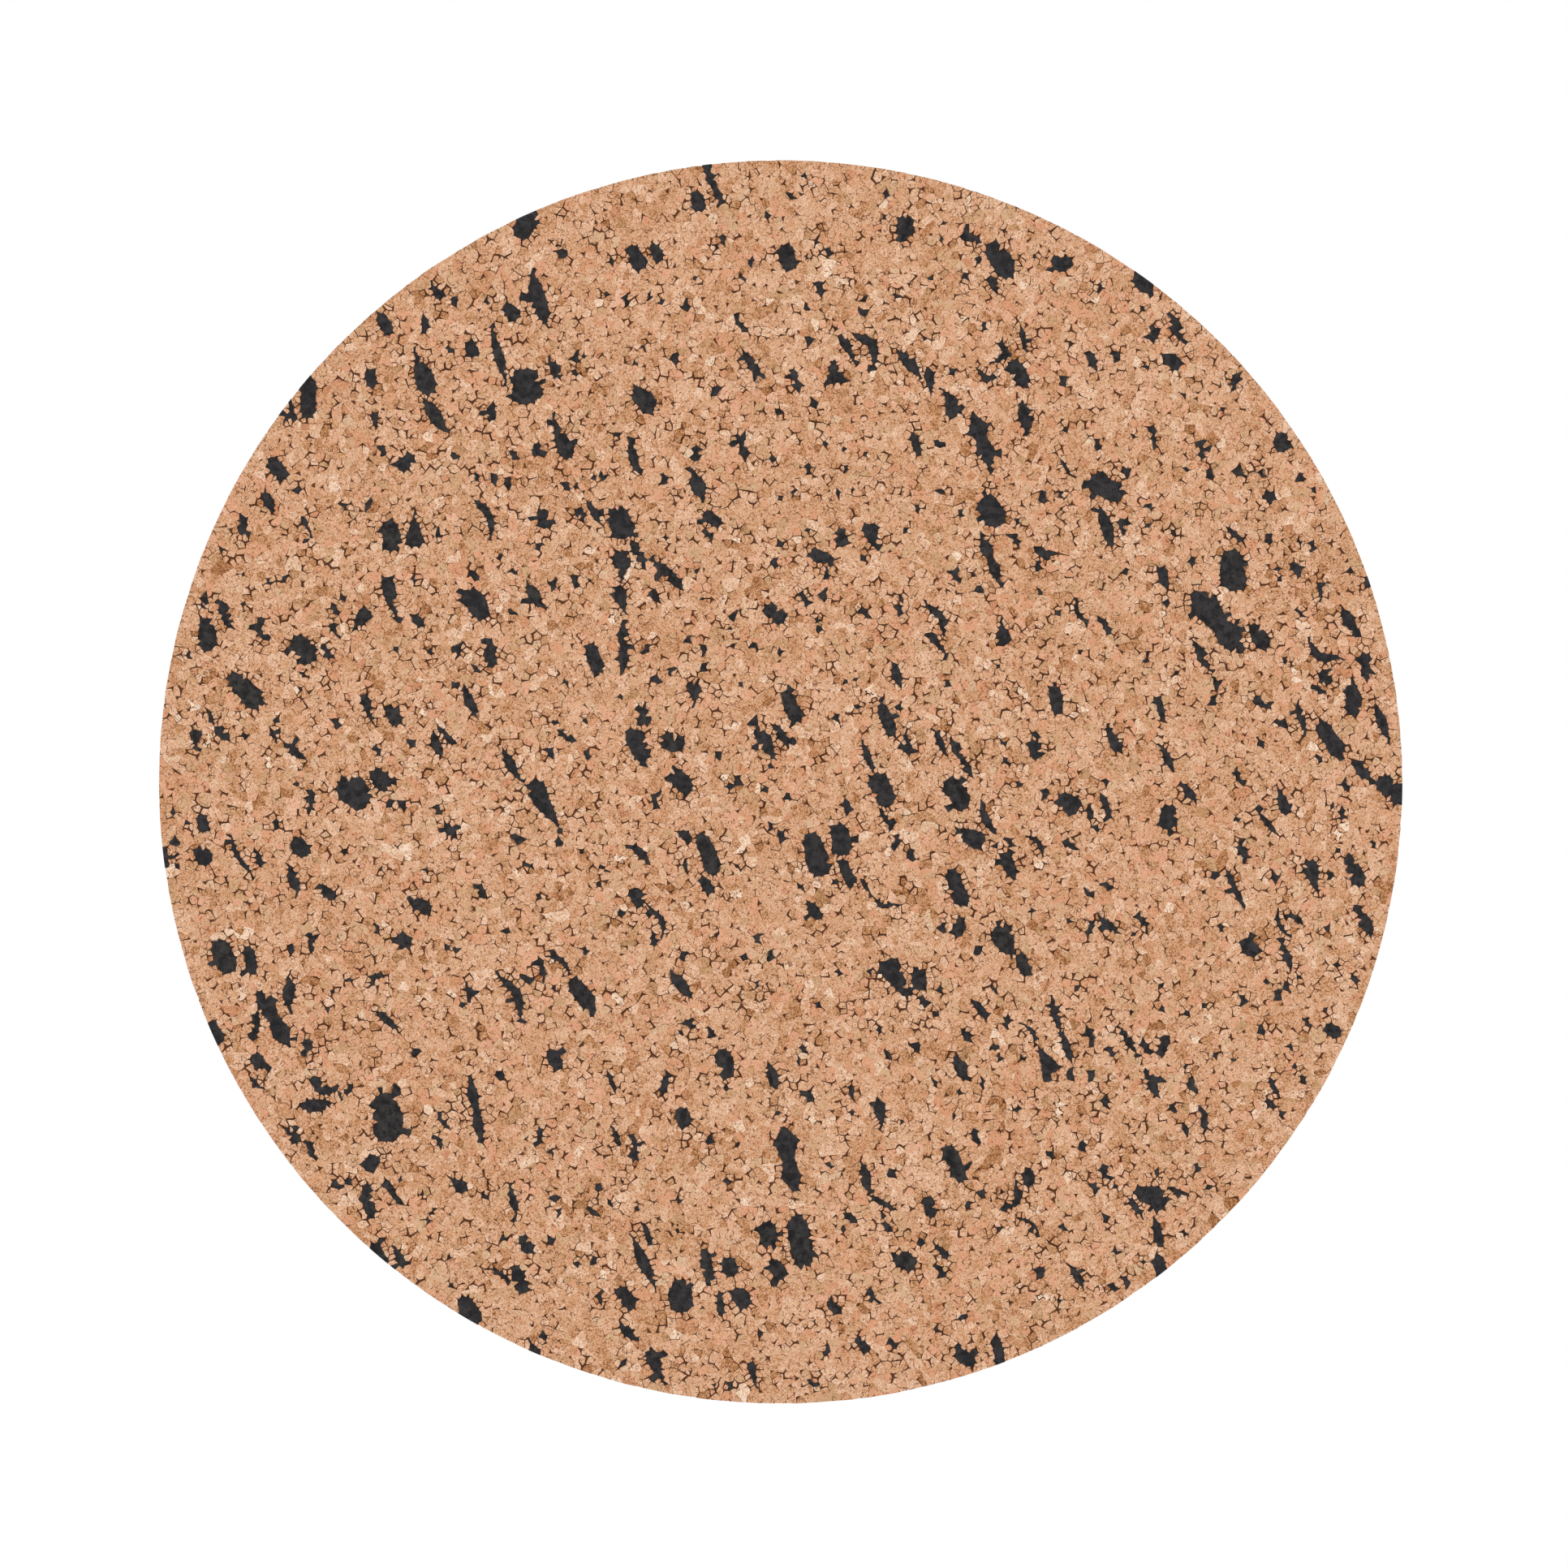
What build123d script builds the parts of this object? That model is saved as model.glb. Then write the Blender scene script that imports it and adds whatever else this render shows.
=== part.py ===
"""Round cork bulletin board: a cork sheet with pressed-in rubber chips on a softboard core.

All sizes are in millimetres. The origin is the disc's centre on the wall plane, +Z is up and
+X is to the right seen from the front. The front faces -Y and the wall is at y = 0, so a depth
in front of the wall is a distance towards -Y.
"""
import math
import os
import random

from build123d import *

os.makedirs("parts", exist_ok=True)

# The disc and its layers, from the wall to the front
BOARD_R = 150.0
BUMPER_T = 2.0
PAPER_T = 0.4
CORE_T = 9.0
FILM_T = 0.2
CORK_T = 5.0

PAPER_R = BOARD_R - 1.5
FILM_R = BOARD_R - 0.5
CORE_CHAMFER = 0.4

PAPER_AT = BUMPER_T
CORE_AT = PAPER_AT + PAPER_T
FILM_AT = CORE_AT + CORE_T
CORK_AT = FILM_AT + FILM_T

# Keyhole hanger, let into the core's back
HANGER_Z = 110.0
PLATE_W, PLATE_H, PLATE_T = 48.0, 22.0, 1.2
PLATE_CORNER_R = 5.0
PLATE_GAP = 0.1
RECESS_W, RECESS_H = PLATE_W + 2 * PLATE_GAP, PLATE_H + 2 * PLATE_GAP
PAPER_WINDOW_EDGE = 1.0
ENTRY_R = 4.5
ENTRY_Z = HANGER_Z - 4.0
SLOT_W = 5.0
SLOT_END_Z = HANGER_Z + 5.5
POCKET_W, POCKET_H, POCKET_D = 13.0, 20.0, 5.0
POCKET_CORNER_R = 4.0

# Countersunk screws that hold the hanger
SCREW_X = 18.0
HEAD_R, SHANK_R = 2.7, 1.4
HEAD_T = PLATE_T
SCREW_L = 8.0
TIP_L = 1.6
SINK_GAP = 0.15
CROSS_L, CROSS_W, CROSS_D = 3.0, 0.7, 0.8

# Stick-on bumpers that keep the back off the wall
BUMPER_R = 7.0
BUMPER_EDGE_R = 0.7
BUMPER_PITCH_R = 118.0

# Rubber chips: the cork left between two of them, and between one and the rim. A chip that
# reaches the rim goes at least RIM_OVERRUN past it, so that the cut leaves no sliver.
CHIP_SEED = 41
CHIP_GAP = 0.55
RIM_MARGIN = 0.9
RIM_OVERRUN = 0.3
NEAR_CHIPS = 34.0

# Listed chips: a chip that meets another shrinks by steps until it fits
LARGE_SCALE = 1.07
SHRINK_STEP = 0.96
SHRINK_TRIES = 14

# Small chips: areas in square mm, length over width, and the lean of the length in degrees
SMALL_CHIPS = 120
SMALL_AREA = (3.0, 11.0)
SMALL_RIM_INSET = 3.0
SMALL_FORMS = ("lens", "lens", "block", "wedge")
SLENDER_MEDIAN, SLENDER_SPREAD = 1.8, 0.35
SLENDER_MIN, SLENDER_MAX = 1.1, 4.0
FORM_FILL = 0.68
LEAN_MEAN, LEAN_SPREAD = 115.0, 22.0

# How far a chip's corners stray from its form, as shares of its half length and half width
STATION_STRAY = 0.09
CORNER_STRAY = 0.05
TIP_STRAY = 0.2
BULGE_MIN, BULGE_MAX = 0.8, 1.15

# Outline of each form of chip: along the length, then the upper and the lower edge, all from -1
# to 1. The end at +1 is the one that points along the chip's lean.
FORMS = {
    "block": ((-1, 0.5, -0.4), (-0.6, 1, -0.9), (0.05, 0.9, -1), (0.6, 0.95, -0.8), (1, 0.4, -0.45)),
    "lens": ((-1, 0, 0), (-0.6, 0.75, -0.6), (-0.05, 1, -1), (0.5, 0.75, -0.8), (1, 0, 0)),
    "wedge": ((-1, 0.6, -0.5), (-0.65, 1, -1), (-0.1, 0.8, -0.85), (0.45, 0.4, -0.5), (1, 0, 0)),
    "crescent": ((-1, -0.6, -0.6), (-0.5, 0.6, -0.55), (0, 1, -0.1), (0.5, 0.7, -0.4), (1, -0.6, -0.6)),
    "waist": ((-1, 0.2, -0.2), (-0.55, 1, -0.9), (0, 0.55, -0.5), (0.5, 0.95, -1), (1, 0.15, -0.2)),
}

# The chips that give the face its pattern: x, z, length, width, and the lean of the length in
# degrees from +X towards +Z. One that reaches the rim is cut off there, as the sheet is.
LARGE_CHIPS = {
    "block": (
        (-95.5, 110.5, 7, 4, 115), (-114, 92.5, 9, 4, 85), (-90.5, 77, 4.5, 3.5, 30),
        (-121.5, 75.5, 6, 4, 130), (-61.5, 134.5, 7, 5.5, 60), (-65, 113.5, 4.5, 3.5, 130),
        (-61.5, 95.5, 8, 7.5, 100), (-74.5, 104.5, 4, 3.5, 110), (-33, 92, 7, 4.5, 130),
        (-35, 126.5, 6, 4, 115), (-30, 127.5, 4.5, 3, 115), (-20, 140, 4.5, 3.5, 100),
        (1.5, 126.5, 6, 4, 105), (30, 134, 5, 4.5, 90), (53, 126, 9, 5, 120), (68, 125, 4.5, 4, 10),
        (57.5, 98.5, 7, 3.5, 125), (87.5, 120.5, 5, 4.5, 130), (98.5, 111.5, 4.5, 3.5, 130),
        (94.5, 101.5, 4.5, 3.5, 150), (121, 82, 4.5, 4, 110), (78.5, 71, 8.5, 5.5, 150),
        (-94, 59.5, 7, 5, 105), (-138.5, 35.5, 7.5, 4.5, 90), (-115, 32, 7, 5.5, 120),
        (-129, 22, 10, 5, 135), (-93.5, 16, 5, 3, 125), (-73.5, 43, 8, 5.5, 125),
        (-96.5, 0.5, 5.5, 4, 130), (-103, -2.5, 8.5, 7, 150), (-57, 63.5, 4.5, 4, 110),
        (-38.5, 62.5, 7.5, 6, 115), (-16.5, 63.5, 4.5, 3, 145), (-5, 42, 4, 3, 110),
        (-1.5, 40.5, 5.5, 4, 150), (-70, 30.5, 5.5, 3, 90), (-45, 29.5, 7.5, 3.5, 110),
        (-34.5, 9, 8, 5, 115), (-26, 9.5, 5.5, 4.5, 160), (-24, 0, 6.5, 4.5, 130),
        (2.5, 18, 8, 4, 110), (14.5, 59, 4.5, 3, 110), (9.5, 54.5, 5.5, 3.5, 160),
        (51, 65.5, 7.5, 5.5, 120), (66.5, 20, 7, 3.5, 100), (25.5, 15, 8, 3, 110),
        (61.5, 8, 4.5, 3.5, 95), (24.5, -2, 8, 5, 120), (42.5, -3, 8, 5, 120),
        (109, 51, 9.5, 6.5, 100), (115.5, 35, 6.5, 4, 120), (138, 20, 7.5, 4, 95),
        (132.5, 10.5, 9, 4.5, 125), (140, 3, 5, 2.5, 130), (147.5, -2, 8, 5, 145),
        (-139.5, -10, 4, 3, 105), (-139.5, -18, 4.5, 4, 130), (-116, -16, 5, 4, 140),
        (-109.5, -26.5, 5, 2.5, 145), (-86.5, -30, 4.5, 3.5, 160), (-91, -38.5, 4, 3.5, 125),
        (-134.5, -42, 8, 5, 110), (-128, -43, 6.5, 3, 100), (-136.5, -60.5, 5.5, 3.5, 125),
        (-126, -67.5, 4, 3, 115), (-111, -73.5, 6.5, 3, 140), (-112, -78, 7, 3, 5),
        (-95, -81, 11, 7.5, 90), (-23, -13, 5, 3, 140), (-17.5, -17.5, 10, 4, 110),
        (-34.5, -28, 5, 3, 115), (-48, -51, 8, 4, 130), (-13.5, -68, 6.5, 4.5, 105),
        (-54.5, -67, 5, 3, 120), (-2, -71, 5.5, 2.5, 110), (8.5, -17.5, 10, 5.5, 105),
        (14.5, -14, 7, 5, 100), (16, -22, 7.5, 3.5, 115), (55, -20, 6, 3, 110),
        (69.5, -5, 5.5, 4.5, 160), (42.5, -25.5, 9, 4, 110), (43, -35, 4.5, 3, 70),
        (58.5, -44, 5.5, 3, 105), (33.5, -47.5, 5.5, 3.5, 100), (93.5, -8.5, 5.5, 4.5, 85),
        (138.5, -21.5, 7.5, 3.5, 115), (113, -40, 5, 3.5, 130), (133, -60, 4, 3, 150),
        (-98.5, -92, 4, 3.5, 60), (-99.5, -101, 8, 3, 100), (-97.5, -113.5, 4.5, 3.5, 110),
        (-75, -127.5, 7, 4.5, 125), (-23.5, -81, 4.5, 3.5, 120), (-61.5, -111.5, 4.5, 3, 115),
        (-63, -120, 6.5, 3.5, 110), (-18, -116.5, 7, 3, 100), (-12.5, -117, 4.5, 4, 100),
        (-3, -109, 5.5, 4.5, 105), (-24, -124, 7.5, 5.5, 95), (-37.5, -124.5, 6, 3.5, 125),
        (-9.5, -124.5, 5, 4, 135), (-1, -117.5, 5, 3.5, 125), (36, -102.5, 5, 3, 100),
        (42, -92, 9, 4, 115), (60, -95.5, 4, 3, 95), (5, -111, 12.5, 5.5, 100),
        (30, -115.5, 5.5, 4.5, 160), (44.5, -139, 5, 3.5, 145), (52.5, -137.5, 8, 2.5, 100),
        (89.5, -100, 7.5, 5, 155), (91, -109, 6, 2.5, 100), (91.5, -117, 5, 3.5, 105),
    ),
    "lens": (
        (-83.5, 88.5, 9.5, 3.5, 125), (-58.5, 116.5, 12.5, 4.5, 105), (-68, 103, 13, 2.5, 105),
        (-54.5, 99.5, 5, 2.5, 120), (-35.5, 78.5, 7, 2.5, 105), (-7, 101, 7, 2.5, 125),
        (31, 101, 8.5, 3, 130), (59, 88, 7.5, 3.5, 105), (95.5, 109.5, 6.5, 3, 110),
        (78.5, 61.5, 10, 3, 110), (-123.5, 67.5, 5.5, 2.5, 110), (-134, 40.5, 7, 3, 110),
        (-83, 9, 6, 2.5, 110), (-75, 19.5, 7.5, 2.5, 110), (-45, 65, 6.5, 2, 120),
        (-34.5, 55.5, 7, 3, 120), (-27, 50, 9.5, 3, 135), (-20, 71.5, 7.5, 3.5, 110),
        (-59.5, 45, 6.5, 3, 120), (-4, 10, 10, 3.5, 120), (0, 11.5, 6, 2.5, 130),
        (-65, 4, 8.5, 2.5, 120), (28, 26, 5.5, 2.5, 105), (21, 6, 7, 2, 110),
        (38.5, 9.5, 6, 2, 115), (137, 39, 6, 3, 120), (101.5, 30.5, 8, 2.5, 120),
        (125.5, 15.5, 7, 2, 105), (145, 14.5, 9, 2.5, 110), (98.5, -2.5, 5, 2.5, 125),
        (-117.5, -23.5, 6.5, 3, 110), (-118.5, -51, 6.5, 3, 85), (-95, -57.5, 6.5, 2, 140),
        (-24, -49, 7.5, 3, 130), (8, -31, 5.5, 3, 125), (25, -8.5, 7, 2, 120),
        (49.5, -9, 6, 2, 115), (69, -64, 7, 2, 105), (43.5, -69, 6.5, 3, 120),
        (79, -34.5, 6, 2, 140), (111.5, -16.5, 5, 2.5, 110), (117.5, -10, 7, 1.5, 130),
        (141, -34, 7, 3, 115), (122, -42, 6.5, 2, 110), (84, -62.5, 7, 2, 120),
        (89.5, -72.5, 7.5, 3, 115), (-94, -98.5, 6, 2, 120), (-64.5, -101, 7, 2, 105),
        (-33, -116, 13, 3, 115), (-14.5, -126, 6, 2, 95), (-37, -132.5, 5.5, 2.5, 130),
        (20.5, -95.5, 7, 2.5, 100), (24.5, -101.5, 6.5, 1.5, 150), (85.5, -102.5, 6.5, 2, 125),
        (-59, -137, 5, 1.5, 130),
    ),
    "wedge": (
        (-86.5, 99, 11, 4.5, 110), (-53, 83, 10, 4, 110), (13, 99, 5.5, 5, 100),
        (36, 96.5, 5.5, 2.5, 280), (41, 91.5, 7, 4.5, 115), (-88.5, 60.5, 7.5, 4.5, 95),
        (-94, 44.5, 9.5, 3.5, 285), (-101.5, 39, 6, 4, 235), (-99.5, 17.5, 7, 2.5, 290),
        (-141, 10.5, 4, 3, 270), (-38.5, 52, 7, 4.5, 270), (-38.5, 44, 7, 3.5, 285),
        (-21, 21.5, 5, 3.5, 270), (-33, 16, 4.5, 3.5, 95), (-57, -5.5, 13, 4.5, 300),
        (22, 59.5, 5.5, 4, 280), (53.5, 36, 5.5, 3.5, 90), (80, 10.5, 6.5, 3, 115),
        (121, -4.5, 6.5, 3, 110), (-113.5, -4.5, 5, 2.5, 270), (-148.5, -18.5, 5, 3.5, 10),
        (-80, -11.5, 4.5, 2.5, 125), (45.5, -13, 7.5, 5, 150), (54, -38.5, 7.5, 6, 290),
        (28, -47.5, 10, 5.5, 300), (66.5, -56.5, 7, 3, 290), (64, -67, 7, 4.5, 120),
        (128.5, -23, 7.5, 4, 285), (-118, -85, 5, 2.5, 135), (-78, -97, 4.5, 3, 145),
        (-92, -114.5, 5, 2.5, 115), (-30, -141, 8, 4, 295), (24, -80, 6, 3, 280),
        (142, 48.5, 4.5, 3.5, 240),
    ),
    "crescent": (
        (21, 105, 9, 4.5, 305), (53.5, 103.5, 5.5, 4, 255), (-71, 64, 9.5, 3.5, 295),
        (38, 39.5, 9, 3.5, 300), (72, 41, 5.5, 2, 110), (130.5, 31, 8.5, 4, 150),
        (-130.5, -18, 9.5, 2, 120), (-97.5, -47.5, 4.5, 2.5, 35), (-29.5, -33, 7.5, 2.5, 300),
        (-53, -43.5, 6, 2.5, 320), (-64.5, -51.5, 11.5, 3.5, 295), (62, -15, 5.5, 2, 305),
        (60.5, -60.5, 5, 2, 300), (25, -29.5, 5, 2, 165), (120.5, -34, 6.5, 2, 110),
        (56.5, -100.5, 6, 3.5, 245), (60, -106.5, 5.5, 1.5, 325), (-118.5, 89.5, 5.5, 2.5, 255),
    ),
    "waist": (
        (-9.5, 81, 5.5, 2.5, 115), (-16, 143.5, 9, 2.5, 115), (3.5, 97, 5.5, 2.5, 110),
        (48.5, 82.5, 12, 5, 110), (-38, 32.5, 11, 3, 90), (50.5, 54, 12, 3, 110),
        (43.5, 6, 10, 2.5, 120), (105.5, 38.5, 18, 7, 130), (141, 28, 6.5, 3.5, 100),
        (-122.5, -57, 13.5, 5, 120), (-73.5, -79, 15, 3, 100), (109.5, -25.5, 8.5, 2, 115),
        (2, -91, 14.5, 5.5, 100),
    ),
}


def chip_outline(rng, stations, x, z, length, width, lean):
    """Irregular outline of one chip, as counter-clockwise (x, z) corners."""
    flip = rng.choice((-1, 1)) if stations is not FORMS["crescent"] else 1
    upper, lower = [], []
    for along, high, low in stations:
        along += rng.uniform(-STATION_STRAY, STATION_STRAY) if abs(along) < 1 else 0
        if high == low:
            upper.append((along, high + rng.uniform(-TIP_STRAY, TIP_STRAY)))
            continue
        for edge, across in ((upper, high), (lower, low)):
            stray = rng.uniform(-CORNER_STRAY, CORNER_STRAY)
            edge.append((along + stray, across * rng.uniform(BULGE_MIN, BULGE_MAX)))
    cos, sin = math.cos(math.radians(lean)), math.sin(math.radians(lean))
    corners = []
    for along, across in upper[::-1] + lower:
        u, v = along * length / 2, flip * across * width / 2
        corners.append((x + u * cos - v * sin, z + u * sin + v * cos))
    return corners[::flip]


def point_to_edge(p, a, b):
    """Distance from point p to the edge from a to b."""
    ex, ez = b[0] - a[0], b[1] - a[1]
    t = ((p[0] - a[0]) * ex + (p[1] - a[1]) * ez) / (ex * ex + ez * ez)
    t = min(max(t, 0.0), 1.0)
    return math.hypot(p[0] - a[0] - t * ex, p[1] - a[1] - t * ez)


def inside(p, outline):
    """True when point p is inside the outline."""
    hit = False
    for a, b in zip(outline, outline[1:] + outline[:1]):
        if (a[1] > p[1]) != (b[1] > p[1]) and p[0] < a[0] + (p[1] - a[1]) / (b[1] - a[1]) * (b[0] - a[0]):
            hit = not hit
    return hit


def apart(first, second):
    """True when two outlines keep the chip gap between them."""
    for one, other in ((first, second), (second, first)):
        edges = list(zip(other, other[1:] + other[:1]))
        for p in one:
            if inside(p, other) or any(point_to_edge(p, a, b) < CHIP_GAP for a, b in edges):
                return False
    return True


def fits(outline, placed):
    """True when an outline is clear of every placed chip and leaves no sliver at the rim."""
    reach = max(math.hypot(x, z) for x, z in outline)
    if BOARD_R - RIM_MARGIN < reach < BOARD_R + RIM_OVERRUN:
        return False
    x0, z0 = outline[0]
    near = [other for other in placed if math.hypot(other[0][0] - x0, other[0][1] - z0) < NEAR_CHIPS]
    return all(apart(outline, other) for other in near)


def spread_chips():
    """Outlines of all the chips: the large ones where they are listed, then the small ones."""
    rng = random.Random(CHIP_SEED)
    placed = []
    large = [(form, *row) for form, rows in LARGE_CHIPS.items() for row in rows]
    for form, x, z, length, width, lean in sorted(large, key=lambda chip: -chip[3] * chip[4]):
        for shrink in range(SHRINK_TRIES):
            scale = LARGE_SCALE * SHRINK_STEP**shrink
            outline = chip_outline(rng, FORMS[form], x, z, length * scale, width * scale, lean)
            if fits(outline, placed):
                placed.append(outline)
                break
    wanted = len(placed) + SMALL_CHIPS
    while len(placed) < wanted:
        area = math.exp(rng.uniform(math.log(SMALL_AREA[0]), math.log(SMALL_AREA[1])))
        slender = rng.lognormvariate(math.log(SLENDER_MEDIAN), SLENDER_SPREAD)
        slender = min(max(slender, SLENDER_MIN), SLENDER_MAX)
        length = math.sqrt(area * slender / FORM_FILL)
        form = FORMS[rng.choice(SMALL_FORMS)]
        stations = form[:2] + form[3:]
        lean = rng.gauss(LEAN_MEAN, LEAN_SPREAD) + rng.choice((0, 180))
        radius = (BOARD_R - SMALL_RIM_INSET) * math.sqrt(rng.random())
        bearing = rng.uniform(0, 2 * math.pi)
        x, z = radius * math.cos(bearing), radius * math.sin(bearing)
        outline = chip_outline(rng, stations, x, z, length, length / slender, lean)
        if max(math.hypot(x, z) for x, z in outline) < BOARD_R - RIM_MARGIN and fits(outline, placed):
            placed.append(outline)
    return placed


chip_shapes = [Polygon(*outline, align=None) for outline in spread_chips()]

# ---------------------------------------------------------------------------------------------
# Cork sheet, with a pocket through it for each chip
with BuildPart() as cork_face:
    with BuildSketch(Plane.XZ.offset(CORK_AT)):
        Circle(BOARD_R)
        add(chip_shapes, mode=Mode.SUBTRACT)
    extrude(amount=CORK_T)
cork_face.part.label = "cork_face"
export_step(cork_face.part, "parts/cork_face.step")

# Rubber chips, sanded flush with the cork's face and cut with it at the rim
with BuildPart() as rubber_chips:
    with BuildSketch(Plane.XZ.offset(CORK_AT)):
        add(chip_shapes)
        Circle(BOARD_R, mode=Mode.INTERSECT)
    extrude(amount=CORK_T)
rubber_chips.part.label = "rubber_chips"
export_step(rubber_chips.part, "parts/rubber_chips.step")

# Adhesive film between the cork and the core
with BuildPart() as adhesive_film:
    with BuildSketch(Plane.XZ.offset(FILM_AT)):
        Circle(FILM_R)
    extrude(amount=FILM_T)
adhesive_film.part.label = "adhesive_film"
export_step(adhesive_film.part, "parts/adhesive_film.step")

# Softboard core that takes the pins, let in at the back for the hanger
with BuildPart() as core_board:
    with BuildSketch(Plane.XZ.offset(CORE_AT)):
        Circle(BOARD_R)
    extrude(amount=CORE_T)
    chamfer(core_board.edges().filter_by(GeomType.CIRCLE).group_by(Axis.Y)[-1], CORE_CHAMFER)
    with BuildSketch(Plane.XZ.offset(CORE_AT)):
        with Locations((0, HANGER_Z)):
            RectangleRounded(RECESS_W, RECESS_H, PLATE_CORNER_R + PLATE_GAP)
    extrude(amount=PLATE_T, mode=Mode.SUBTRACT)
    with BuildSketch(Plane.XZ.offset(CORE_AT + PLATE_T)):
        with Locations((0, HANGER_Z)):
            RectangleRounded(POCKET_W, POCKET_H, POCKET_CORNER_R)
    extrude(amount=POCKET_D, mode=Mode.SUBTRACT)
    for x in (-SCREW_X, SCREW_X):
        with BuildSketch(Plane.XY.offset(HANGER_Z)):
            with BuildLine():
                Polyline(
                    (x, -CORE_AT - PLATE_T),
                    (x + SHANK_R, -CORE_AT - PLATE_T),
                    (x + SHANK_R, -CORE_AT - SCREW_L + TIP_L),
                    (x, -CORE_AT - SCREW_L),
                    close=True,
                )
            make_face()
        revolve(axis=Axis((x, 0, HANGER_Z), (0, 1, 0)), mode=Mode.SUBTRACT)
core_board.part.label = "core_board"
export_step(core_board.part, "parts/core_board.step")

# Kraft paper on the back, with a window for the hanger
with BuildPart() as backing_paper:
    with BuildSketch(Plane.XZ.offset(PAPER_AT)):
        Circle(PAPER_R)
        with Locations((0, HANGER_Z)):
            RectangleRounded(
                PLATE_W + 2 * PAPER_WINDOW_EDGE,
                PLATE_H + 2 * PAPER_WINDOW_EDGE,
                PLATE_CORNER_R + PAPER_WINDOW_EDGE,
                mode=Mode.SUBTRACT,
            )
    extrude(amount=PAPER_T)
backing_paper.part.label = "backing_paper"
export_step(backing_paper.part, "parts/backing_paper.step")

# Steel hanger plate: the screw in the wall goes in at the entry and slides up the slot
with BuildPart() as hanger_plate:
    with BuildSketch(Plane.XZ.offset(CORE_AT)):
        with Locations((0, HANGER_Z)):
            RectangleRounded(PLATE_W, PLATE_H, PLATE_CORNER_R)
        with Locations((0, ENTRY_Z)):
            Circle(ENTRY_R, mode=Mode.SUBTRACT)
        with Locations((0, (ENTRY_Z + SLOT_END_Z - SLOT_W / 2) / 2)):
            Rectangle(SLOT_W, SLOT_END_Z - SLOT_W / 2 - ENTRY_Z, mode=Mode.SUBTRACT)
        with Locations((0, SLOT_END_Z - SLOT_W / 2)):
            Circle(SLOT_W / 2, mode=Mode.SUBTRACT)
    extrude(amount=PLATE_T)
    for x in (-SCREW_X, SCREW_X):
        with Locations(Plane((x, -CORE_AT - PLATE_T / 2, HANGER_Z), z_dir=(0, 1, 0))):
            Cone(SHANK_R + SINK_GAP, HEAD_R + SINK_GAP, PLATE_T, mode=Mode.SUBTRACT)
hanger_plate.part.label = "hanger_plate"
export_step(hanger_plate.part, "parts/hanger_plate.step")

# The two countersunk screws, with crossed driver recesses
with BuildPart() as hanger_screws:
    for x in (-SCREW_X, SCREW_X):
        with BuildSketch(Plane.XY.offset(HANGER_Z)):
            with BuildLine():
                Polyline(
                    (x, -CORE_AT),
                    (x + HEAD_R, -CORE_AT),
                    (x + SHANK_R, -CORE_AT - HEAD_T),
                    (x + SHANK_R, -CORE_AT - SCREW_L + TIP_L),
                    (x, -CORE_AT - SCREW_L),
                    close=True,
                )
            make_face()
        revolve(axis=Axis((x, 0, HANGER_Z), (0, 1, 0)))
        with Locations((x, -CORE_AT - CROSS_D / 2, HANGER_Z)):
            Box(CROSS_L, CROSS_D, CROSS_W, mode=Mode.SUBTRACT)
            Box(CROSS_W, CROSS_D, CROSS_L, mode=Mode.SUBTRACT)
hanger_screws.part.label = "hanger_screws"
export_step(hanger_screws.part, "parts/hanger_screws.step")

# Bumpers: one backs the middle, where pins are pressed in, and four stand near the rim
diagonal = BUMPER_PITCH_R * math.sqrt(0.5)
for name, x, z in (
    ("bumper_centre", 0.0, 0.0),
    ("bumper_upper_left", -diagonal, diagonal),
    ("bumper_upper_right", diagonal, diagonal),
    ("bumper_lower_left", -diagonal, -diagonal),
    ("bumper_lower_right", diagonal, -diagonal),
):
    with BuildPart() as bumper:
        with BuildSketch(Plane.XZ):
            with Locations((x, z)):
                Circle(BUMPER_R)
        extrude(amount=BUMPER_T)
        fillet(bumper.edges().filter_by(GeomType.CIRCLE).group_by(Axis.Y)[-1], BUMPER_EDGE_R)
    bumper.part.label = name
    export_step(bumper.part, f"parts/{name}.step")
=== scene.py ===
import math

import bpy
import numpy as np
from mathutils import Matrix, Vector
from mathutils.geometry import delaunay_2d_cdt
from mathutils.kdtree import KDTree


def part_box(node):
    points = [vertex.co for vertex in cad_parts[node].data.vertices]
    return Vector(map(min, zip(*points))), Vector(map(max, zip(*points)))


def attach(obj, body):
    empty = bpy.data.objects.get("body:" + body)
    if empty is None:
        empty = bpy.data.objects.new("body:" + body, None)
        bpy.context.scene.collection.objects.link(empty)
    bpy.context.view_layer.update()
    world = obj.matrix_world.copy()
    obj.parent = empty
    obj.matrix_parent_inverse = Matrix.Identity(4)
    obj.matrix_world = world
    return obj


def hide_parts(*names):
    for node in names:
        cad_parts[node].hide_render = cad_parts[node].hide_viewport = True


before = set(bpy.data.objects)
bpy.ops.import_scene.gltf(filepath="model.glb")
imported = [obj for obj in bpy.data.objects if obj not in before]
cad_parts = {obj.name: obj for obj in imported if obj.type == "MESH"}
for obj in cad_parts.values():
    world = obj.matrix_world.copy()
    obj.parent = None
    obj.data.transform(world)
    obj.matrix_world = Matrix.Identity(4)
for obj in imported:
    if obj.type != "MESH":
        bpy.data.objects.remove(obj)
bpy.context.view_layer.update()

# Looks of the round cork bulletin board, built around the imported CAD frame.
#
# The cork sheet and the rubber chips are built as real granules: seeds are scattered over the
# face, their Voronoi cells are joined into granules, and the cracks between granules are cut as
# grooves. The granules are worked out in millimetres, as (x, z) on the face and as a depth behind
# it, and turned into metres when their meshes are made.

MM = 0.001
rng = np.random.default_rng(20)

# The cork sheet, from the frame
sheet_low, sheet_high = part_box("cork_face")
FRONT = sheet_low.y / MM
SHEET_T = (sheet_high.y - sheet_low.y) / MM
RIM = sheet_high.x / MM

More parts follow.
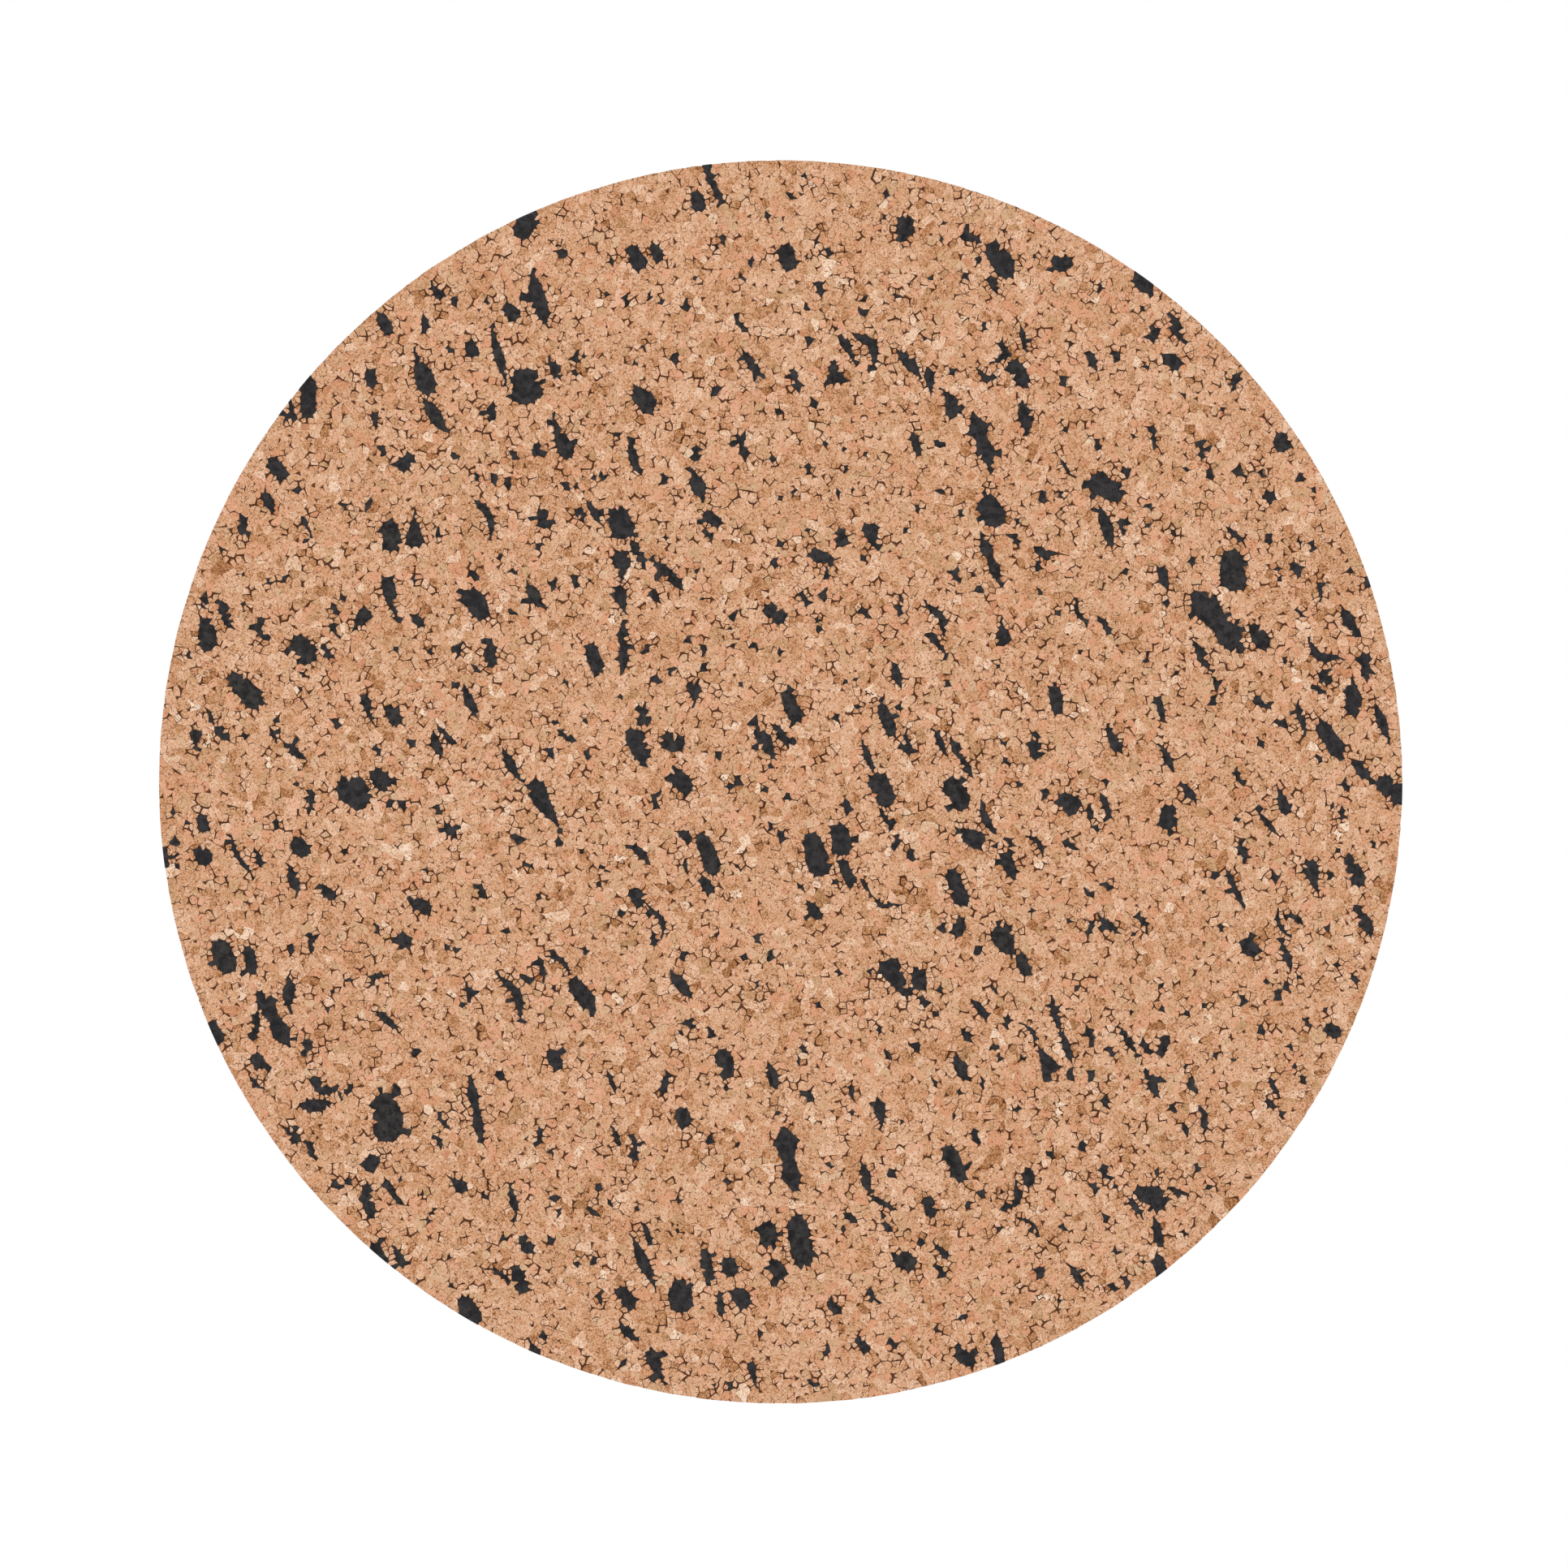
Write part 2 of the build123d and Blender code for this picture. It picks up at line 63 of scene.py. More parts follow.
# What a cell belongs to, where that isn't the chip, crumb or sliver of that number
CORK, OUTSIDE = -1, -2

# Seeds: spacing over the face, and how they follow a chip's outline on each side. All sizes are
# in millimetres, and shares and odds are from 0 to 1.
SPACING, STRAY = 2.06, 0.46
OUTLINE_STEP = (0.65, 1.0)
INNER_DEPTH, INNER_SHARE, THIN = 0.7, 0.46, 0.42
OUTER_SHARE, OUTER_STRETCH, OUTER_LEAST, MOST_SKIPPED = 0.4, (0.4, 0.85), 0.2, 1
OUTER_CLEAR, RING_CLEAR = 0.15, 0.3
CLEAR_OF_CHIP, DEEP_IN_CHIP = 0.85, 1.35
CLEAR_OF_SEED, SAME_PLACE = 0.95, 0.3
RIM_CLEAR, MIRROR_BAND = 0.3, 4.0
TINY_EDGE = 0.2

# Cork that bites into a chip's edge, and rubber that spikes out of it
BITE_ODDS, BITE_DEPTH = 0.05, 0.25
SPIKE_ODDS, SPIKE_LENGTH = 0.018, 0.4

# Crumbs and specks of rubber and slivers of pale cork, too small for the CAD. Lengths of a
# sliver, speck or crumb are from the first of its seeds to the last.
INCLUSIONS = {
    "crumb": {"count": 120, "length": (0.6, 1.9), "width": (0.8, 1.3)},
    "speck": {"count": 270, "length": (0.0, 1.1), "width": (0.5, 0.95)},
    "sliver": {"count": 22, "length": (1.4, 3.6), "width": (0.35, 0.6)},
}
CHIP_LEAN, CHIP_LEAN_SPREAD = math.radians(115), math.radians(22)
INCLUSION_STEP, INCLUSION_STRAY = 0.6, 0.08
INCLUSION_OFF_RIM, INCLUSION_OFF_CHIP, INCLUSION_GAP = 3.0, 1.9, 1.2
RING_FEWEST, RING_PER_MM, RING_TURN, RING_OUT = 4, 1.7, 0.35, (0.65, 1.4)

# Granules: how many cells each one joins, and the cracks between them
CELLS_PER_GRANULE = ((1, 0.74), (2, 0.19), (3, 0.07))
CORNER_STRAY = 0.08
ARM_LENGTHS, OPEN_ODDS, OPEN_ELSEWHERE = (1.2, 2.2), (0.88, 0.14), 0.34
CRACK_W = (0.12, 0.55)
CRACK_DEPTH_PER_W, CRACK_DEPTH = 1.1, (0.08, 0.45)
# Lips: how far one drops, the painted shade it gives the crack walls near it, and how far back it
# stands
LIP_DROP, LIP_CRACK_SHADE = 0.025, 0.5
LIP_BACK, LIP_MOST = (0.55, 1.0), 0.35
# Corners against rubber: how deep they go, the painted shade that makes a dark fringe around and
# under each chip, and the pocket's depth
CONTACT_DEPTH, CONTACT_CRACK_SHADE, POCKET_DEPTH = 0.17, 0.74, 0.34
CHIP_DEPTH, CHIP_EDGE_DEPTH = (0.02, 0.07), 0.1
# How far a chip goes in, and its size at shares of that depth
CHIP_SHALLOWEST, CHIP_DEPTH_PER_REACH, CHIP_DEEPEST = 1.0, (0.4, 1.1), 4.8
CHIP_LEVELS = ((0.0, 1.0), (0.3, 1.02), (0.7, 0.92), (1.0, 0.5))
RIM_SHY = 0.01
RIM_CRUMBLE_W, RIM_CRUMBLE_DEPTH = (0.06, 0.3), (0.06, 0.34)
RIM_INSET, CUT_INSET = (0.04, 0.2), (0.03, 0.2)
CUT_DEPTHS, CUT_SLIP, CUT_STRAY = (0.8, 1.7, 2.6, 3.5, 4.3), 0.25, 0.2

# Tones of the granules, from dark at 0 to pale at 1
TONE, TONE_SPREAD, TONE_LIMITS = 0.57, 0.09, (0.1, 0.85)
DARK_SHARE, DARK_TONE = 0.035, (0.22, 0.42)
PALE_SHARE, PALE_TONE, SLIVER_TONE = 0.008, (0.84, 0.95), (0.93, 1.0)
FLOOR_TONE = 0.1


# ---------------------------------------------------------------- seeds
def front_outlines(node):
    """Outlines of a CAD node's front faces, as counter-clockwise (x, z) corners."""
    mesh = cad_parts[node].data
    co = np.array([v.co for v in mesh.vertices]) / MM
    place = [tuple(c) for c in np.round(co[:, [0, 2]], 3).tolist()]
    edges = set()
    for face in mesh.polygons:
        if all(co[v, 1] < FRONT + 0.01 for v in face.vertices):
            ring = [place[v] for v in face.vertices]
            edges.update(steps(ring))
    onward = {a: b for a, b in sorted(edges) if (b, a) not in edges}
    outlines = []
    while onward:
        first = next(iter(onward))
        outline, at = [first], onward.pop(first)
        while at != first:
            outline.append(at)
            at = onward.pop(at)
        outlines.append(np.array(outline))
    return outlines


def cross(a, b):
    return a[..., 0] * b[..., 1] - a[..., 1] * b[..., 0]


def outside_by(points, outline):
    """How far each point is outside an outline, negative inside it."""
    edge = np.roll(outline, -1, 0) - outline
    to = points[:, None] - outline
    share = np.clip((to * edge).sum(2) / (edge**2).sum(1), 0, 1)
    gap = np.linalg.norm(to - share[..., None] * edge, axis=2).min(1)
    above = outline[:, 1] > points[:, 1, None]
    crosses = above != np.roll(above, -1, 1)
    rise = np.where(edge[:, 1] == 0, 1, edge[:, 1])
    right = to[..., 0] < to[..., 1] * edge[:, 0] / rise
    return np.where((crosses & right).sum(1) % 2 == 1, -gap, gap)


def nearest_chip(points, outlines, reach=3.0):
    """How far each point is outside the nearest chip, and that chip's number."""
    gap, chip = np.full(len(points), 99.0), np.full(len(points), CORK)
    for number, outline in enumerate(outlines):
        low, high = outline.min(0) - reach, outline.max(0) + reach
        near = np.flatnonzero(((points > low) & (points < high)).all(1))
        found = outside_by(points[near], outline)
        near, found = near[found < gap[near]], found[found < gap[near]]
        gap[near], chip[near] = found, number
    return gap, chip


def walk(outline, step):
    """Points along a closed outline, a random step apart, with their inward normals."""
    ends = np.vstack([outline, outline[:1]])
    lengths = np.linalg.norm(np.diff(ends, axis=0), axis=1)
    stops = np.concatenate([[0], np.cumsum(lengths)])
    at = rng.uniform(*step) / 2
    while at < stops[-1]:
        i = np.searchsorted(stops, at) - 1
        along = (ends[i + 1] - ends[i]) / lengths[i]
        yield ends[i] + along * (at - stops[i]), np.array([-along[1], along[0]])
        at += rng.uniform(*step)


def thickness(p, inward, outline):
    """Distance from a point on an outline, straight in, to the outline's other side."""
    edge = np.roll(outline, -1, 0) - outline
    turn = cross(inward, edge)
    turn = np.where(np.abs(turn) < 1e-9, 1e-9, turn)
    far = cross(outline - p, edge) / turn
    share = cross(outline - p, inward) / turn
    hits = far[(far > 0.05) & (share >= 0) & (share <= 1)]
    return hits.min() if len(hits) else 0.0


def close_to(points, others, reach):
    """Which points are within reach of any of the others."""
    tree = KDTree(len(others))
    for i, (x, z) in enumerate(others):
        tree.insert((x, z, 0), i)
    tree.balance()
    return np.array([tree.find((x, z, 0))[2] < reach for x, z in points])


def inclusion(at, length, width, lean):
    """Seeds inside a small inclusion, and the cork seeds that shut it in."""
    along = np.array([math.cos(lean), math.sin(lean)])
    across = np.array([-along[1], along[0]])
    stops = [0.0]
    if length > 0.5:
        stops = np.linspace(-0.5, 0.5, round(length / INCLUSION_STEP) + 1)
    inner = []
    for s in stops:
        aside = rng.uniform(-INCLUSION_STRAY, INCLUSION_STRAY)
        inner.append(at + along * length * s + across * aside)
    count = max(RING_FEWEST, round((length + width) * RING_PER_MM))
    start, ring = rng.uniform(0, 2 * math.pi), []
    for k in range(count):
        turn = start + 2 * math.pi * (k + rng.uniform(-RING_TURN, RING_TURN)) / count
        out = width * rng.uniform(*RING_OUT)
        ring.append(
            at
            + along * math.cos(turn) * (length / 2 + out)
            + across * math.sin(turn) * out
        )
    return inner, ring


def spread(count, clear, outlines, taken):
    """Random places on the face, clear of the chips and of the places taken."""
    found = []
    while len(found) < count:
        radius = (RIM - INCLUSION_OFF_RIM) * math.sqrt(rng.random())
        bearing = rng.uniform(0, 2 * math.pi)
        at = radius * np.array([math.cos(bearing), math.sin(bearing)])
        if any(abs(at - other).max() < clear for other in taken + found):
            continue
        if nearest_chip(at[None], outlines)[0][0] > INCLUSION_OFF_CHIP:
            found.append(at)
    return found


def scatter_seeds(outlines):
    """Seeds of all the cells, and what each cell belongs to. Chips come first, then crumbs and
    specks, then the slivers, which are cork. Mirrored seeds outside the rim make the cells end
    on it."""
    places, owner = [], []

    def place(points, belongs_to):
        places.extend(points)
        owner.extend([belongs_to] * len(points))

    outer, bites = [], []
    for chip, outline in enumerate(outlines):
        inner, skipped = [], 0
        for p, inward in walk(outline, OUTLINE_STEP):
            depth = min(INNER_DEPTH, INNER_SHARE * thickness(p, inward, outline))
            draw = rng.random()
            if depth == INNER_DEPTH and draw < BITE_ODDS:
                bites.append(p + inward * BITE_DEPTH)
                continue
            inner.append(p + inward * depth)
            if draw > 1 - SPIKE_ODDS:
                inner.append(p - inward * SPIKE_LENGTH)
            elif depth < THIN or skipped == MOST_SKIPPED or rng.random() < OUTER_SHARE:
                out = max(depth * rng.uniform(*OUTER_STRETCH), OUTER_LEAST)
                outer.append(p - inward * out)
                skipped = 0
            else:
                skipped += 1
        place(inner, chip)
    outer = np.array(outer)
    outer = outer[nearest_chip(outer, outlines)[0] > OUTER_CLEAR]

    number, taken, walls = len(outlines), [], []
    for kind, size in INCLUSIONS.items():
        clear = size["length"][1] / 2 + INCLUSION_GAP
        for at in spread(size["count"], clear, outlines, taken):
            lean = rng.normal(CHIP_LEAN, CHIP_LEAN_SPREAD)
            if kind == "sliver":
                lean = rng.uniform(0, math.pi)
            length, width = rng.uniform(*size["length"]), rng.uniform(*size["width"])
            inner, ring = inclusion(at, length, width, lean)
            place(inner, number)
            walls.extend(ring)
            taken.append(at)
            number += 1
    walls = np.array(walls)
    walls = walls[nearest_chip(walls, outlines)[0] > RING_CLEAR]

    row_gap = SPACING * math.sqrt(3) / 2
    rows, columns = int(RIM / row_gap) + 1, int(RIM / SPACING) + 1
    row, column = np.mgrid[-rows : rows + 1, -columns : columns + 1]
    filler = np.stack([(column + row % 2 / 2) * SPACING, row * row_gap], 2).reshape(-1, 2)
    filler += rng.uniform(-STRAY, STRAY, filler.shape) * SPACING
    gap, chip = nearest_chip(filler, outlines)
    deep = gap < -DEEP_IN_CHIP
    for number in np.unique(chip[deep]):
        place(list(filler[deep & (chip == number)]), number)
    filler = filler[gap > CLEAR_OF_CHIP]
    near = close_to(filler, np.vstack([outer, walls]), CLEAR_OF_SEED)
    near |= close_to(filler, np.array(places), CLEAR_OF_SEED)
    place(bites + list(outer) + list(walls) + list(filler[~near]), CORK)

    places, owner = np.array(places), np.array(owner)
    _, first = np.unique(np.round(places / SAME_PLACE), axis=0, return_index=True)
    first.sort()
    places, owner = places[first], owner[first]
    kept = np.linalg.norm(places, axis=1) < RIM - RIM_CLEAR
    places, owner = places[kept], owner[kept]
    radius = np.linalg.norm(places, axis=1)
    banded = radius > RIM - MIRROR_BAND
    mirrored = places[banded] * ((2 * RIM - radius[banded]) / radius[banded])[:, None]
    owner = np.concatenate([owner, np.full(len(mirrored), OUTSIDE)])
    return np.vstack([places, mirrored]), owner


# ---------------------------------------------------------------- cells and granules
def steps(ring):
    """Each corner of a closed ring with the one after it."""
    return zip(ring, ring[1:] + ring[:1])


def without_spikes(ring):
    """A ring of corners, less those that are doubled or only go out and back."""
    at = 0
    while at < len(ring):
        before, after = ring[at - 1], ring[(at + 1) % len(ring)]
        if before in (ring[at], after):
            del ring[at]
            at = 0
        else:
            at += 1
    return ring if len(ring) > 2 else []


def voronoi(seeds, owner):
    """Voronoi cells: the corners, and each cell's ring of corner numbers."""
    _, _, faces, seed_of, _, _ = delaunay_2d_cdt(
        [Vector(p) for p in seeds.tolist()], [], [], 0, 1e-7
    )
    seed_of = np.array([s[0] for s in seed_of])
    triangles = seed_of[np.array(faces)]
    a, b, c = (seeds[triangles[:, k]] for k in range(3))
    u, v = b - a, c - a
    uu, vv = (u**2).sum(1), (v**2).sum(1)
    swing = np.stack([v[:, 1] * uu - u[:, 1] * vv, u[:, 0] * vv - v[:, 0] * uu], 1)
    centre = a + swing / (2 * cross(u, v))[:, None]

    sides = {}
    for t, (i, j, k) in enumerate(triangles.tolist()):
        for pair in ((i, j), (j, k), (k, i)):
            sides.setdefault((min(pair), max(pair)), []).append(t)
    leads = list(range(len(triangles)))

    def lead(t):
        while leads[t] != t:
            t = leads[t]
        return t

    for (i, j), met in sides.items():
        if len(met) == 2 and not (owner[i] == OUTSIDE and owner[j] == OUTSIDE):
            if np.linalg.norm(centre[met[0]] - centre[met[-1]]) < TINY_EDGE:
                leads[lead(met[0])] = lead(met[-1])
    inside = (owner[triangles] != OUTSIDE).any(1)
    triangles, centre = triangles[inside], centre[inside]
    corner_of = np.array([lead(t) for t in np.flatnonzero(inside).tolist()])
    _, corner_of = np.unique(corner_of, return_inverse=True)
    members = np.bincount(corner_of)
    corners = np.stack([np.bincount(corner_of, centre[:, k]) / members for k in (0, 1)], 1)

    cell = triangles.ravel()
    corner = np.repeat(np.arange(len(triangles)), 3)
    offset = centre[corner] - seeds[cell]
    order = np.lexsort((np.arctan2(offset[:, 1], offset[:, 0]), cell))
    rings = [[] for _ in seeds]
    for i, v in zip(cell[order].tolist(), corner_of[corner[order]].tolist()):
        rings[i].append(v)
    rings = [[] if owner[i] == OUTSIDE else without_spikes(r) for i, r in enumerate(rings)]
    return corners, rings


def join_cells(owner, beside):
    """The granule of each cell. A chip, crumb or sliver is one granule with its own number."""
    granule = owner.copy()
    count = owner.max() + 1
    sizes, odds = zip(*CELLS_PER_GRANULE)
    for cell in rng.permutation(np.flatnonzero(owner == CORK)).tolist():
        if granule[cell] != CORK:
            continue
        group = [cell]
        granule[cell] = count
        for _ in range(rng.choice(sizes, p=odds) - 1):
            free = [n for g in group for n in beside[g] if granule[n] == CORK]
            if not free:
                break
            group.append(free[rng.integers(len(free))])
            granule[group[-1]] = count
        count += 1
    return granule, count


class Face:
    """The corners where granules meet, with the cracks that open there."""

    def __init__(self, outlines):
        self.rubber = len(outlines) + INCLUSIONS["crumb"]["count"] + INCLUSIONS["speck"]["count"]
        seeds, owner = scatter_seeds(outlines)
        self.corners, self.rings = voronoi(seeds, owner)
        cell = {step: i for i, ring in enumerate(self.rings) for step in steps(ring)}
        self.beside = [
            sorted({cell[w, v] for v, w in steps(ring) if (w, v) in cell}) for ring in self.rings
        ]
        self.granule, self.count = join_cells(owner, self.beside)
        self.middle = {
            i: self.corners[ring].mean(0) for i, ring in enumerate(self.rings) if ring
        }
        self.cells_at = [[] for _ in self.corners]
        for i, ring in enumerate(self.rings):
            for v in ring:
                self.cells_at[v].append(i)
        self.across = {step: self.granule[i] for step, i in cell.items()}
        self.rim_steps = [(v, w) for v, w in cell if (w, v) not in cell]
        self.on_rim = {v for v, _ in self.rim_steps}
        self.open_cracks()

    def is_rubber(self, granule):
        return 0 <= granule < self.rubber

    def fan(self, v, cell):
        """A name for the unbroken run of a granule's cells around a corner that a cell is in."""
        run, waiting = {cell}, [cell]
        while waiting:
            at = waiting.pop()
            for other in self.cells_at[v]:
                joined = self.granule[other] == self.granule[at] and other in self.beside[at]
                if other not in run and joined:
                    run.add(other)
                    waiting.append(other)
        return v, min(run)

    def open_cracks(self):
        """Opens cracks at some corners and at all those where rubber or the rim is; sets each
        corner's painted shade.
        """
        n = len(self.corners)
        self.opened = np.zeros(n, bool)
        # Each corner also gets how much painted shade its cork takes: full in an open crack and
        # on the rim, less at a lip, and partway around and under each chip
        self.width, self.depth, self.crack_shade = np.zeros(n), np.zeros(n), np.zeros(n)
        most = 2 * CORNER_STRAY
        shift = rng.normal(0, CORNER_STRAY, (n, 2)).clip(-most, most)
        arm = np.zeros(n)
        for (v, w), granule in self.across.items():
            if self.across.get((w, v)) != granule:
                length = np.linalg.norm(self.corners[v] - self.corners[w])
                arm[v], arm[w] = max(arm[v], length), max(arm[w], length)
        odds = np.interp(arm, ARM_LENGTHS, OPEN_ODDS)
        for v, cells in enumerate(self.cells_at):
            met = {self.granule[i] for i in cells}
            rubber = any(self.is_rubber(g) for g in met)
            if v in self.on_rim:
                self.corners[v] *= RIM / np.linalg.norm(self.corners[v])
                self.opened[v], self.crack_shade[v] = True, 1.0
                self.width[v] = rng.uniform(*RIM_CRUMBLE_W)
                self.depth[v] = rng.uniform(*RIM_CRUMBLE_DEPTH)
                continue
            if rubber:
                self.depth[v] = CONTACT_DEPTH if len(met) > 1 else POCKET_DEPTH
                # A fringe of painted shade where cork meets rubber
                self.crack_shade[v] = CONTACT_CRACK_SHADE
            elif len(met) > 1:
                self.corners[v] += shift[v]
            cut = odds[v] * (1 if len(met) > 2 else OPEN_ELSEWHERE)
            if len(met) > 1 and rng.random() < cut:
                self.opened[v], self.crack_shade[v] = True, 1.0
                low, high = CRACK_W
                self.width[v] = low + (high - low) * rng.random() ** 2
                depth = np.clip(CRACK_DEPTH_PER_W * self.width[v], *CRACK_DEPTH)
                self.depth[v] = max(self.depth[v], depth)

    def lip(self, v, granule):
        """Where a granule's edge stands, back from an open corner."""
        at, toward, reach = self.corners[v], np.zeros(2), 99.0
        for i in self.cells_at[v]:
            if self.granule[i] == granule:
                away = self.middle[i] - at
                length = max(np.linalg.norm(away), 1e-6)
                toward += away / length
                reach = min(reach, length)
        toward /= max(np.linalg.norm(toward), 1e-6)
        return at + toward * min(self.width[v] * rng.uniform(*LIP_BACK), LIP_MOST * reach)


# ---------------------------------------------------------------- meshes
class Sheet:
    """A mesh in the making, from places in millimetres and depths behind the front face."""

    def __init__(self):
        self.points, self.faces, self.crack_shade = [], [], []
        self.tone, self.tint, self.wall, self.slot = [], [], [], []

    def point(self, at, depth, crack_shade=0.0):
        self.points.append((at[0] * MM, (FRONT + depth) * MM, at[1] * MM))
        self.crack_shade.append(crack_shade)
        return len(self.points) - 1

    def face(self, ring, tone=0.5, tint=0.5, wall=0.0, slot=0):
        ring = [p for p, q in steps(ring) if p != q]
        if len(set(ring)) > 2:
            self.faces.append(ring)
            self.tone.append(tone)
            self.tint.append(tint)
            self.wall.append(wall)
            self.slot.append(slot)

    def piece(self, name, materials):
        mesh = bpy.data.meshes.new(name)
        mesh.from_pydata(self.points, [], self.faces)
        # Face values for the material; the point values say how much painted shade of the cracks
        # each corner gets
        for title, domain, values in (
            ("tone", "FACE", self.tone),
            ("tint", "FACE", self.tint),
            ("wall", "FACE", self.wall),
            ("crack_shade", "POINT", self.crack_shade),
        ):
            mesh.attributes.new(title, "FLOAT", domain).data.foreach_set("value", values)
        for m in materials:
            mesh.materials.append(m)
        mesh.polygons.foreach_set("material_index", self.slot)
        mesh.update()
        made = bpy.data.objects.new(name, mesh)
        bpy.context.scene.collection.objects.link(made)
        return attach(made, "root")


def granule_looks(face):
    """A tone from dark to pale and a tint from reddish to olive for each granule."""
    tone = rng.normal(TONE, TONE_SPREAD, face.count).clip(*TONE_LIMITS)
    dark = rng.random(face.count) < DARK_SHARE
    tone[dark] = rng.uniform(*DARK_TONE, dark.sum())
    pale = rng.random(face.count) < PALE_SHARE
    tone[pale] = rng.uniform(*PALE_TONE, pale.sum())
    slivers = INCLUSIONS["sliver"]["count"]
    tone[face.rubber : face.rubber + slivers] = rng.uniform(*SLIVER_TONE, slivers)
    return tone, rng.random(face.count)


def make_cork(face, materials):
    """The cork sheet: granules on the front, a pocket floor under the rubber, and a cut rim."""
    tone, tint = granule_looks(face)
    sheet = Sheet()
    for v, at in enumerate(face.corners):
        if v in face.on_rim:
            at = at * (1 - rng.uniform(*RIM_INSET) / RIM)
        sheet.point(at, face.depth[v], face.crack_shade[v])
    lips = {}

    def lip(v, cell):
        if not face.opened[v]:
            return v
        fan = face.fan(v, cell)
        if fan not in lips:
            at = face.lip(v, face.granule[cell])
            lips[fan] = sheet.point(at, rng.uniform(0, LIP_DROP), LIP_CRACK_SHADE)
        return lips[fan]

    for i, ring in enumerate(face.rings):
        g = face.granule[i]
        if face.is_rubber(g):
            sheet.face(ring, FLOOR_TONE)
            continue
        sheet.face([lip(v, i) for v in ring], tone[g], tint[g])
        for v, w in steps(ring):
            if face.across.get((w, v)) != g:
                sheet.face([lip(w, i), lip(v, i), v, w], tone[g], tint[g], wall=1.0)

    onward = dict(face.rim_steps)
    first = min(onward)
    loop = [first]
    while onward[loop[-1]] != first:
        loop.append(onward[loop[-1]])
    above = loop
    for depth in CUT_DEPTHS + (SHEET_T,):
        below = []
        for v in loop:
            at = face.corners[v]
            slip = rng.uniform(-CUT_SLIP, CUT_SLIP) / RIM
            at = np.array([at[0] - at[1] * slip, at[1] + at[0] * slip])
            at *= (RIM - rng.uniform(*CUT_INSET)) / np.linalg.norm(at)
            stray = rng.uniform(-CUT_STRAY, CUT_STRAY) if depth < SHEET_T else 0
            below.append(sheet.point(at, depth + stray))
        for k in range(len(loop)):
            sheet.face([above[k], above[k - 1], below[k - 1], below[k]], slot=1)
        above = below
    sheet.face(above[::-1], slot=1)
    return sheet.piece("cork_granules", materials)


def lumps_of_rubber(face):
    """Each chip's and crumb's middle, and the depth that it goes in to."""
    steepness = rng.uniform(*CHIP_DEPTH_PER_REACH, face.rubber)
    corners = {}
    for g, ring in zip(face.granule.tolist(), face.rings):
        if face.is_rubber(g):
            corners.setdefault(g, []).extend(ring)
    lumps = {}
    for g, met in corners.items():
        places = face.corners[met]
        middle = places.mean(0)
        reach = np.linalg.norm(places - middle, axis=1).max()
        lumps[g] = middle, min(CHIP_SHALLOWEST + reach * steepness[g], CHIP_DEEPEST)
    return lumps


def make_rubber(face, materials):
    """The chips and crumbs, each a closed lump with a dented top, which narrows as it goes in."""
    sheet = Sheet()
    tone = rng.random(face.rubber)
    lumps = lumps_of_rubber(face)
    shy = 1 - RIM_SHY / RIM
    bottom_level = len(CHIP_LEVELS) - 1
    points = {}

    def point(v, cell, level):
        """The point at or under a corner, at one of the lump's levels."""
        key = face.fan(v, cell), level
        if key not in points:
            share, size = CHIP_LEVELS[level]
            middle, deepest = lumps[face.granule[cell]]
            at, depth = middle + (face.corners[v] - middle) * size, deepest * share
            if v in face.on_rim:
                at *= RIM / np.linalg.norm(at)
            if level == 0:
                met = {face.granule[i] for i in face.cells_at[v]}
                edge = len(met) > 1 or v in face.on_rim
                depth = CHIP_EDGE_DEPTH if edge else rng.uniform(*CHIP_DEPTH)
            points[key] = sheet.point(at * shy, depth)
        return points[key]

    for i, ring in enumerate(face.rings):
        g = face.granule[i]
        if not face.is_rubber(g):
            continue
        sheet.face([point(v, i, 0) for v in ring], tone[g])
        sheet.face([point(v, i, bottom_level) for v in reversed(ring)], tone[g])
        for v, w in steps(ring):
            if face.across.get((w, v)) != g:
                for k in range(bottom_level):
                    side = [(w, k), (v, k), (v, k + 1), (w, k + 1)]
                    sheet.face([point(corner, i, level) for corner, level in side], tone[g])
    return sheet.piece("rubber_granules", materials)


